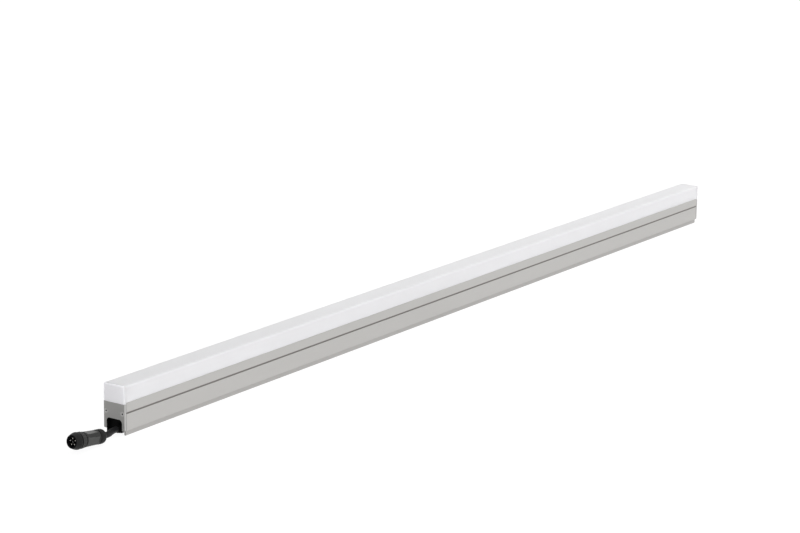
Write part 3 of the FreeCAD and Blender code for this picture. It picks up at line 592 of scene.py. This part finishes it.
grip_steps = [GRIP_START + (GRIP_FRONT - GRIP_START) * k / GRIP_STEPS for k in range(GRIP_STEPS + 1)]
plug_section = [
    (0.0, 0.0), (0.0, 3.0), *arc((3.4, 2.75), 3.4, 180, 90, 10)[2:],
    (4.1, 6.2), (7.6, 6.2), (7.8, 6.1), (7.85, 5.7), (8.35, 5.7), (8.4, 6.0),
    *[(x, grip_radius(x)) for x in grip_steps],
    (25.1, 6.3), (25.2, 6.0), (25.2, 5.2), (29.0, 5.2), (29.35, 5.5), (29.8, 5.5), (29.8, 5.2),
    (36.9, 5.2), (37.1, 5.0), (37.1, 4.5), (36.95, 4.35), (29.0, 4.35), (29.0, 0.0),
]
COLLAR_END, SHROUD_START = 8.38, 28.9
OUTSIDE, LEAST_CUT = 5.4, 0.03
plug_mesh = spun(plug_section, with_flats)
for face in plug_mesh.faces:
    middle = face.calc_center_median() / MM
    radius = math.hypot(middle.y, middle.z)
    cut = radius > OUTSIDE and grip_radius(middle.x) - radius > LEAST_CUT
    # The flats get a painted sheen, the upper one a painted highlight.
    if cut and FLAT_START + RUN_OUT / 2 < middle.x < FLAT_END - RUN_OUT / 2:
        face.material_index = 2 if middle.z > radius * UPWARDS else 1
    elif middle.x < COLLAR_END:
        face.material_index = 3
    # The shroud gets painted shade, darker than the plug's own black.
    elif middle.x > SHROUD_START:
        face.material_index = 4
plug = as_object(plug_mesh, "plug_moulded", PLUG_PLACE, finishes["black_plastic"])
for tone in ("black_plastic_painted_sheen", "black_plastic_painted_highlight", "black_ring", "black_insert"):
    plug.data.materials.append(finishes[tone])
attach(plug, "lamp")
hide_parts("plug_body")

# %% [markdown]
# ## Coupling ring
# The ring screws the plug to its socket. Fingers turn it by the ribs of its sleeve, and its wide
# front flange covers the thread. Two narrow gaps set the sleeve off, one at each end.

# %% The ring without its ribs
RING_BORE = 5.3
ring_section = [
    (25.45, RING_BORE), (25.45, 5.8), (26.1, 5.8), (26.15, 6.65), (30.1, 6.65), (30.3, 6.55),
    (30.35, 5.75), (31.55, 5.75), (31.6, 6.95), (31.7, 7.12), (31.9, 7.2), (32.4, 7.2), (33.0, 7.1),
    (33.8, 6.9), (34.6, 6.65), (35.4, 6.37), (36.2, 6.06), (36.8, 5.83), (37.2, 5.67), (37.45, 5.56),
    (37.5, 5.48), (37.5, RING_BORE + 0.1),
    (37.4, RING_BORE), (30.05, RING_BORE), (30.05, 5.65), (28.75, 5.65), (28.75, RING_BORE),
]
ring_mesh = spun(ring_section)
print("ring from", len(ring_section), "section points")

# %% [markdown]
# ## Node trees
# What repeats on this light, such as ribs, contacts and light packages, is placed by Geometry Nodes.
# These functions shorten the writing of a tree: its named inputs, its nodes, and the two nodes that
# end each tree, which make its instances real and paint them.


# %% Functions for node trees
def tree_with_inputs(name, inputs):
    """A geometry tree with one geometry output and the given number inputs."""
    tree = bpy.data.node_groups.new(name, "GeometryNodeTree")
    tree.interface.new_socket("Geometry", in_out="OUTPUT", socket_type="NodeSocketGeometry")
    for label, kind in inputs.items():
        tree.interface.new_socket(label, in_out="INPUT", socket_type=kind)
    return tree


def add(tree, kind, settings=None, *ordered, **named):
    """Add a node, with its settings first and then its inputs in order or by name."""
    made = tree.nodes.new(kind)
    for key, setting in (settings or {}).items():
        setattr(made, key, setting)
    for key, given in [*enumerate(ordered), *named.items()]:
        socket = made.inputs[key if isinstance(key, int) else key.replace("_", " ")]
        if isinstance(given, bpy.types.NodeSocket):
            tree.links.new(given, socket)
        else:
            socket.default_value = given
    return made


def maths(tree, operation, *inputs):
    """One Math node, as its output socket."""
    return add(tree, "ShaderNodeMath", {"operation": operation}, *inputs).outputs[0]


def vector(tree, **parts):
    """A vector from its X, Y and Z parts."""
    return add(tree, "ShaderNodeCombineXYZ", **parts).outputs[0]


def close_tree(tree, instances, finish, **only):
    """End a tree: its instances become real, get their finish and leave through the output."""
    real = add(tree, "GeometryNodeRealizeInstances", Geometry=instances.outputs[0])
    painted = add(tree, "GeometryNodeSetMaterial", Geometry=real.outputs[0], Material=finish, **only)
    out = tree.nodes.new("NodeGroupOutput")
    tree.links.new(painted.outputs[0], out.inputs[0])


def grow(tree, name, values, place):
    """Run a tree on an empty mesh, with its inputs set by identifier, and keep the result as a mesh."""
    host = bpy.data.objects.new(name, bpy.data.meshes.new(name + "_host"))
    bpy.context.scene.collection.objects.link(host)
    modifier = host.modifiers.new("nodes", "NODES")
    modifier.node_group = tree
    for item in tree.interface.items_tree:
        if item.in_out == "INPUT" and item.name in values:
            modifier[item.identifier] = values[item.name]
    bpy.context.view_layer.update()
    shown = host.evaluated_get(bpy.context.evaluated_depsgraph_get())
    mesh = bpy.data.meshes.new_from_object(shown)
    host.modifiers.remove(modifier)
    mesh.transform(place)
    host.data = mesh
    print(name, len(mesh.polygons), "faces from nodes")
    return host


print("node tree functions ready")

# %% [markdown]
# ## Ribs
# The ribs stand side by side round the sleeve: one rounded bar on each point of a circle, with the
# count and the sizes as inputs of the tree. The tree works on an upright axis, and the result is laid
# along X.

# %% The ribs by Geometry Nodes
RIBS = 20
RIB_SIDES = 10
RIB_INPUTS = {
    "Count": "NodeSocketInt", "Circle": "NodeSocketFloat", "Length": "NodeSocketFloat",
    "Radius": "NodeSocketFloat", "Start": "NodeSocketFloat", "Finish": "NodeSocketMaterial",
}
rib_tree = tree_with_inputs("ribs_round_axis", RIB_INPUTS)
given = rib_tree.nodes.new("NodeGroupInput").outputs
circle = add(rib_tree, "GeometryNodeMeshCircle", Vertices=given["Count"], Radius=given["Circle"])
bar = add(rib_tree, "GeometryNodeMeshCylinder", Vertices=RIB_SIDES, Side_Segments=1,
          Radius=given["Radius"], Depth=given["Length"])
bars = add(rib_tree, "GeometryNodeInstanceOnPoints", Points=circle.outputs["Mesh"],
           Instance=bar.outputs["Mesh"])
bar_middle = maths(rib_tree, "MULTIPLY_ADD", given["Length"], 0.5, given["Start"])
raised = add(rib_tree, "GeometryNodeTransform", Geometry=bars.outputs[0],
             Translation=vector(rib_tree, Z=bar_middle))
close_tree(rib_tree, raised, given["Finish"])

UPRIGHT_TO_X = Matrix.Rotation(math.radians(90), 4, "Y")
ribs = grow(rib_tree, "ring_ribs", {
    "Count": RIBS, "Circle": 6.5 * MM, "Length": 3.9 * MM, "Radius": 0.45 * MM,
    "Start": 26.2 * MM, "Finish": finishes["black_ring"],
}, UPRIGHT_TO_X)
ring_mesh.from_mesh(ribs.data)
bpy.data.objects.remove(ribs)

# %% [markdown]
# ## Lug
# A small lug on the ring, a little to one side of its lowest line, shows which way the ring stands.
# Then the sleeve gets a tone of its own and the two gaps a painted shade, by their place along the axis.

# %% The lug and the ring's tones
SLEEVE_START, GAP_START, GAP_END = 26.12, 30.32, 31.58
LUG_START, LUG_LENGTH, LUG_WIDTH, LUG_HEIGHT, LUG_MIDDLE = 29.6, 2.7, 2.2, 1.0, 6.95
LUG_ROUND = 0.2
LUG_TURN = Matrix.Rotation(math.radians(-12), 4, "X")
lug_place = LUG_TURN @ Matrix.Translation(Vector((LUG_START + LUG_LENGTH / 2, 0, -LUG_MIDDLE)) * MM)
lug_size = Matrix.Diagonal(Vector((LUG_LENGTH, LUG_WIDTH, LUG_HEIGHT)) * MM).to_4x4()
lug = bmesh.ops.create_cube(ring_mesh, size=1, matrix=lug_place @ lug_size)
lug_edges = {edge for corner in lug["verts"] for edge in corner.link_edges}
bmesh.ops.bevel(ring_mesh, geom=list(lug_edges), offset=LUG_ROUND * MM, segments=2, affect="EDGES")
for face in ring_mesh.faces:
    middle = face.calc_center_median() / MM
    radius = math.hypot(middle.y, middle.z)
    if radius > RING_BORE + 0.1 and middle.x < GAP_END:
        in_gap = middle.x > GAP_START or middle.x < SLEEVE_START
        # The two gaps get painted shade.
        face.material_index = 2 if in_gap else 1
ring = as_object(ring_mesh, "coupling_ring_moulded", PLUG_PLACE, finishes["black_ring"])
for tone in ("black_sleeve", "ring_gap_painted_shade"):
    ring.data.materials.append(finishes[tone])
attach(ring, "ring")
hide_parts("coupling_ring")

# %% [markdown]
# ## Contacts
# Five round contacts stand on the insert, on a circle whose first point is turned nine degrees. Each
# is a small turned pin with a domed tip. The same idea as for the ribs works: spin one pin, then let
# nodes set it on the circle.

# %% Contacts on their circle
CONTACTS = 5
CONTACT_CIRCLE = 2.75 * MM
CONTACT_TURN = math.radians(9)
CONTACT_FOOT, CONTACT_FRONT, CONTACT_RADIUS = 31.5, 36.3, 0.5
pin_dome = (CONTACT_FRONT - CONTACT_RADIUS, 0.0)
pin_section = [
    (CONTACT_FOOT, 0.0), (CONTACT_FOOT, CONTACT_RADIUS), *arc(pin_dome, CONTACT_RADIUS, 90, 0, 5),
]
PIN_STEPS = 20
X_TO_UPRIGHT = Matrix.Rotation(math.radians(-90), 4, "Y")
pin = as_object(spun(pin_section, steps=PIN_STEPS), "one_pin", X_TO_UPRIGHT, finishes["plated_brass"])

pin_tree = tree_with_inputs("pins_on_circle", {
    "Count": "NodeSocketInt", "Circle": "NodeSocketFloat", "Pin": "NodeSocketObject",
    "Finish": "NodeSocketMaterial",
})
given = pin_tree.nodes.new("NodeGroupInput").outputs
circle = add(pin_tree, "GeometryNodeMeshCircle", Vertices=given["Count"], Radius=given["Circle"])
shape = add(pin_tree, "GeometryNodeObjectInfo", Object=given["Pin"])
pins = add(pin_tree, "GeometryNodeInstanceOnPoints", Points=circle.outputs["Mesh"],
           Instance=shape.outputs["Geometry"])
close_tree(pin_tree, pins, given["Finish"])

HALF_TURN = Matrix.Rotation(math.pi, 4, "Z")
contact_place = PLUG_PLACE @ Matrix.Rotation(CONTACT_TURN, 4, "X") @ UPRIGHT_TO_X @ HALF_TURN
contacts = grow(pin_tree, "contact_pins", {
    "Count": CONTACTS, "Circle": CONTACT_CIRCLE, "Pin": pin, "Finish": finishes["plated_brass"],
}, contact_place)
bpy.data.objects.remove(pin)
contacts.data.shade_smooth()
contacts.data.set_sharp_from_angle(angle=SMOOTH_ANGLE)
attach(contacts, "lamp")
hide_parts("plug_contacts")

# %% [markdown]
# ## Light packages
# Each light package is a white body with a contact along two of its sides and a round window of yellow
# phosphor on top. Nodes build one package, standing on the origin.

# %% One light package
LIGHT_INPUTS = {
    "Count": "NodeSocketInt", "Outermost": "NodeSocketFloat", "Pitch": "NodeSocketFloat",
    "Foot": "NodeSocketFloat", "Height": "NodeSocketFloat", "Side": "NodeSocketFloat",
    "Window": "NodeSocketFloat", "Window Height": "NodeSocketFloat", "Pad": "NodeSocketFloat",
    "Body Finish": "NodeSocketMaterial", "Pad Finish": "NodeSocketMaterial",
    "Window Finish": "NodeSocketMaterial",
}
PAD_SHARE = 0.8              # a pad's length, as a share of the body's side
WINDOW_SIDES = 24
light_tree = tree_with_inputs("light_rows", LIGHT_INPUTS)
given = light_tree.nodes.new("NodeGroupInput").outputs

half_height = maths(light_tree, "MULTIPLY", given["Height"], 0.5)
body_size = vector(light_tree, X=given["Side"], Y=given["Side"], Z=given["Height"])
block = add(light_tree, "GeometryNodeMeshCube", Size=body_size)
block = add(light_tree, "GeometryNodeTransform", Geometry=block.outputs["Mesh"],
            Translation=vector(light_tree, Z=half_height))
block = add(light_tree, "GeometryNodeSetMaterial", Geometry=block.outputs[0], Material=given["Body Finish"])
pad_length = maths(light_tree, "MULTIPLY", given["Side"], PAD_SHARE)
pad_span = maths(light_tree, "MULTIPLY_ADD", given["Pad"], 2.0, given["Side"])
pad_size = vector(light_tree, X=pad_span, Y=pad_length, Z=given["Pad"])
pads = add(light_tree, "GeometryNodeMeshCube", Size=pad_size)
pads = add(light_tree, "GeometryNodeTransform", Geometry=pads.outputs["Mesh"],
           Translation=vector(light_tree, Z=maths(light_tree, "MULTIPLY", given["Pad"], 0.5)))
pads = add(light_tree, "GeometryNodeSetMaterial", Geometry=pads.outputs[0], Material=given["Pad Finish"])
window = add(light_tree, "GeometryNodeMeshCylinder", Vertices=WINDOW_SIDES, Radius=given["Window"],
             Depth=given["Window Height"])
window_middle = maths(light_tree, "MULTIPLY_ADD", given["Window Height"], 0.5, given["Height"])
window = add(light_tree, "GeometryNodeTransform", Geometry=window.outputs["Mesh"],
             Translation=vector(light_tree, Z=window_middle))
package = add(light_tree, "GeometryNodeJoinGeometry")
for part in (block, pads, window):
    light_tree.links.new(part.outputs[0], package.inputs[0])
print("one package of", len(LIGHT_INPUTS), "inputs")

# %% [markdown]
# Two rows of 24 packages stand on the boards, one package every 20.6 mm, and each row is counted from
# its own end of the bar. The tree's last node paints what stands above the bodies: the windows.

# %% Packages on two rows
ROW_COUNT = 24
JUST_ABOVE = 0.001 * MM
rows = add(light_tree, "GeometryNodeJoinGeometry")
for end in (-1.0, 1.0):
    first = vector(light_tree, X=maths(light_tree, "MULTIPLY", given["Outermost"], end), Z=given["Foot"])
    step = vector(light_tree, X=maths(light_tree, "MULTIPLY", given["Pitch"], -end))
    row = add(light_tree, "GeometryNodeMeshLine", {"mode": "OFFSET"}, Count=given["Count"],
              Start_Location=first, Offset=step)
    light_tree.links.new(row.outputs["Mesh"], rows.inputs[0])
placed = add(light_tree, "GeometryNodeInstanceOnPoints", Points=rows.outputs[0],
             Instance=package.outputs[0])
position = add(light_tree, "GeometryNodeInputPosition").outputs[0]
altitude = add(light_tree, "ShaderNodeSeparateXYZ", Vector=position).outputs["Z"]
body_top = maths(light_tree, "ADD", given["Foot"], given["Height"])
above_body = maths(light_tree, "GREATER_THAN", altitude, maths(light_tree, "ADD", body_top, JUST_ABOVE))
close_tree(light_tree, placed, given["Window Finish"], Selection=above_body)

lights = grow(light_tree, "light_packages", {
    "Count": ROW_COUNT, "Outermost": 484.694 * MM, "Pitch": 20.6125 * MM, "Foot": 17.9 * MM,
    "Height": 1.5 * MM, "Side": 4.7 * MM, "Window": 2.0 * MM, "Window Height": 0.08 * MM,
    "Pad": 0.14 * MM, "Body Finish": finishes["light_package"],
    "Pad Finish": finishes["plated_brass"], "Window Finish": finishes["phosphor"],
}, Matrix.Identity(4))
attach(lights, "lamp")
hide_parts("near_lights", "far_lights")

# %% [markdown]
# ## Light
# The photograph is a plain catalogue picture: white all round, with soft light that has no clear
# direction. Faces towards the front are brightest, the top gets a tenth less, and the near end little
# more than a third as much. A world whose light changes evenly with direction gives exactly that: the
# light on a face is LEVEL plus how far the face leans towards LEAN. The camera itself, and what it
# sees in a reflection, gets a plain white world.

# %% The world
LEVEL = 0.74
LEAN = Vector((0.373, -0.26, 0.16))
FACE_TO_DIRECTION = 1.5      # a face averages the directions it sees, which leaves 2/3 of the change
WHITE = (1, 1, 1, 1)

world = bpy.data.worlds.new("studio")
bpy.context.scene.world = world
world.use_nodes = True
tree = world.node_tree
tree.nodes.clear()

direction = add(tree, "ShaderNodeTexCoord").outputs["Generated"]
lean = add(tree, "ShaderNodeVectorMath", {"operation": "DOT_PRODUCT"}, direction, LEAN * FACE_TO_DIRECTION)
strength = maths(tree, "ADD", lean.outputs["Value"], LEVEL)
lighting = add(tree, "ShaderNodeBackground", None, WHITE, strength)
backdrop = add(tree, "ShaderNodeBackground", None, WHITE, 1.0)
rays = add(tree, "ShaderNodeLightPath").outputs
seen = maths(tree, "MAXIMUM", rays["Is Camera Ray"], rays["Is Glossy Ray"])
seen = maths(tree, "MAXIMUM", seen, rays["Is Transmission Ray"])
choose = add(tree, "ShaderNodeMixShader", None, seen, lighting.outputs[0], backdrop.outputs[0])
add(tree, "ShaderNodeOutputWorld", None, choose.outputs[0])
print("world level", LEVEL, "leaning to", list(LEAN))

# %% [markdown]
# One large, weak lamp behind the far end lifts the top there, where the photograph is palest.

# %% The lamp behind the far end
LAMP_PLACE, LAMP_AIM = Vector((0.75, 0.45, 0.65)), Vector((0.5, 0, 0.04))
LAMP_WATTS, LAMP_SIZE = 0.6, 0.5
lamp = bpy.data.objects.new("far_lamp", bpy.data.lights.new("far_lamp", "AREA"))
lamp.data.energy = LAMP_WATTS
lamp.data.size = LAMP_SIZE
lamp.location = LAMP_PLACE
lamp.rotation_mode = "QUATERNION"
lamp.rotation_quaternion = (LAMP_AIM - LAMP_PLACE).to_track_quat("-Z", "Y")
bpy.context.scene.collection.objects.link(lamp)
print("lamp of", LAMP_WATTS, "W behind the far end")

# %% [markdown]
# ## Floor
# The bar stands on a white floor that sends light back up. To the camera it shows a plain white, as
# the photograph's ground does, and only a small share of its real shading, for a faint shadow.

# %% The floor
FLOOR_SIZE = 12.0
FLOOR_CELLS = 4
FLOOR_DROP = 0.2 * MM
FLOOR_WHITE = 0.85
SHOWN_WHITE = 1.1
SHADOW_SHARE = 0.15
made = bmesh.new()
bmesh.ops.create_grid(made, x_segments=FLOOR_CELLS, y_segments=FLOOR_CELLS, size=FLOOR_SIZE / 2)
floor_finish = Finish("floor_white", Roughness=0.9)
floor_finish.set(Base_Color=(FLOOR_WHITE, FLOOR_WHITE, FLOOR_WHITE, 1))
floor = as_object(made, "floor", Matrix.Translation((0, 0, -FLOOR_DROP)), floor_finish.material)
seen_directly = floor_finish.node("ShaderNodeLightPath", output="Is Camera Ray")
mirrored = floor_finish.node("ShaderNodeLightPath", output="Is Glossy Ray")
shown = seen_directly.math("MAXIMUM", seen_directly, mirrored)
shaded = Value(floor_finish, floor_finish.shader.outputs[0])
plain_white = floor_finish.node("ShaderNodeEmission", Strength=SHOWN_WHITE)
mixed = floor_finish.node("ShaderNodeMixShader", {}, shown * (1 - SHADOW_SHARE), shaded, plain_white)
floor_finish.feed(floor_finish.tree.nodes["Material Output"].inputs["Surface"], mixed)
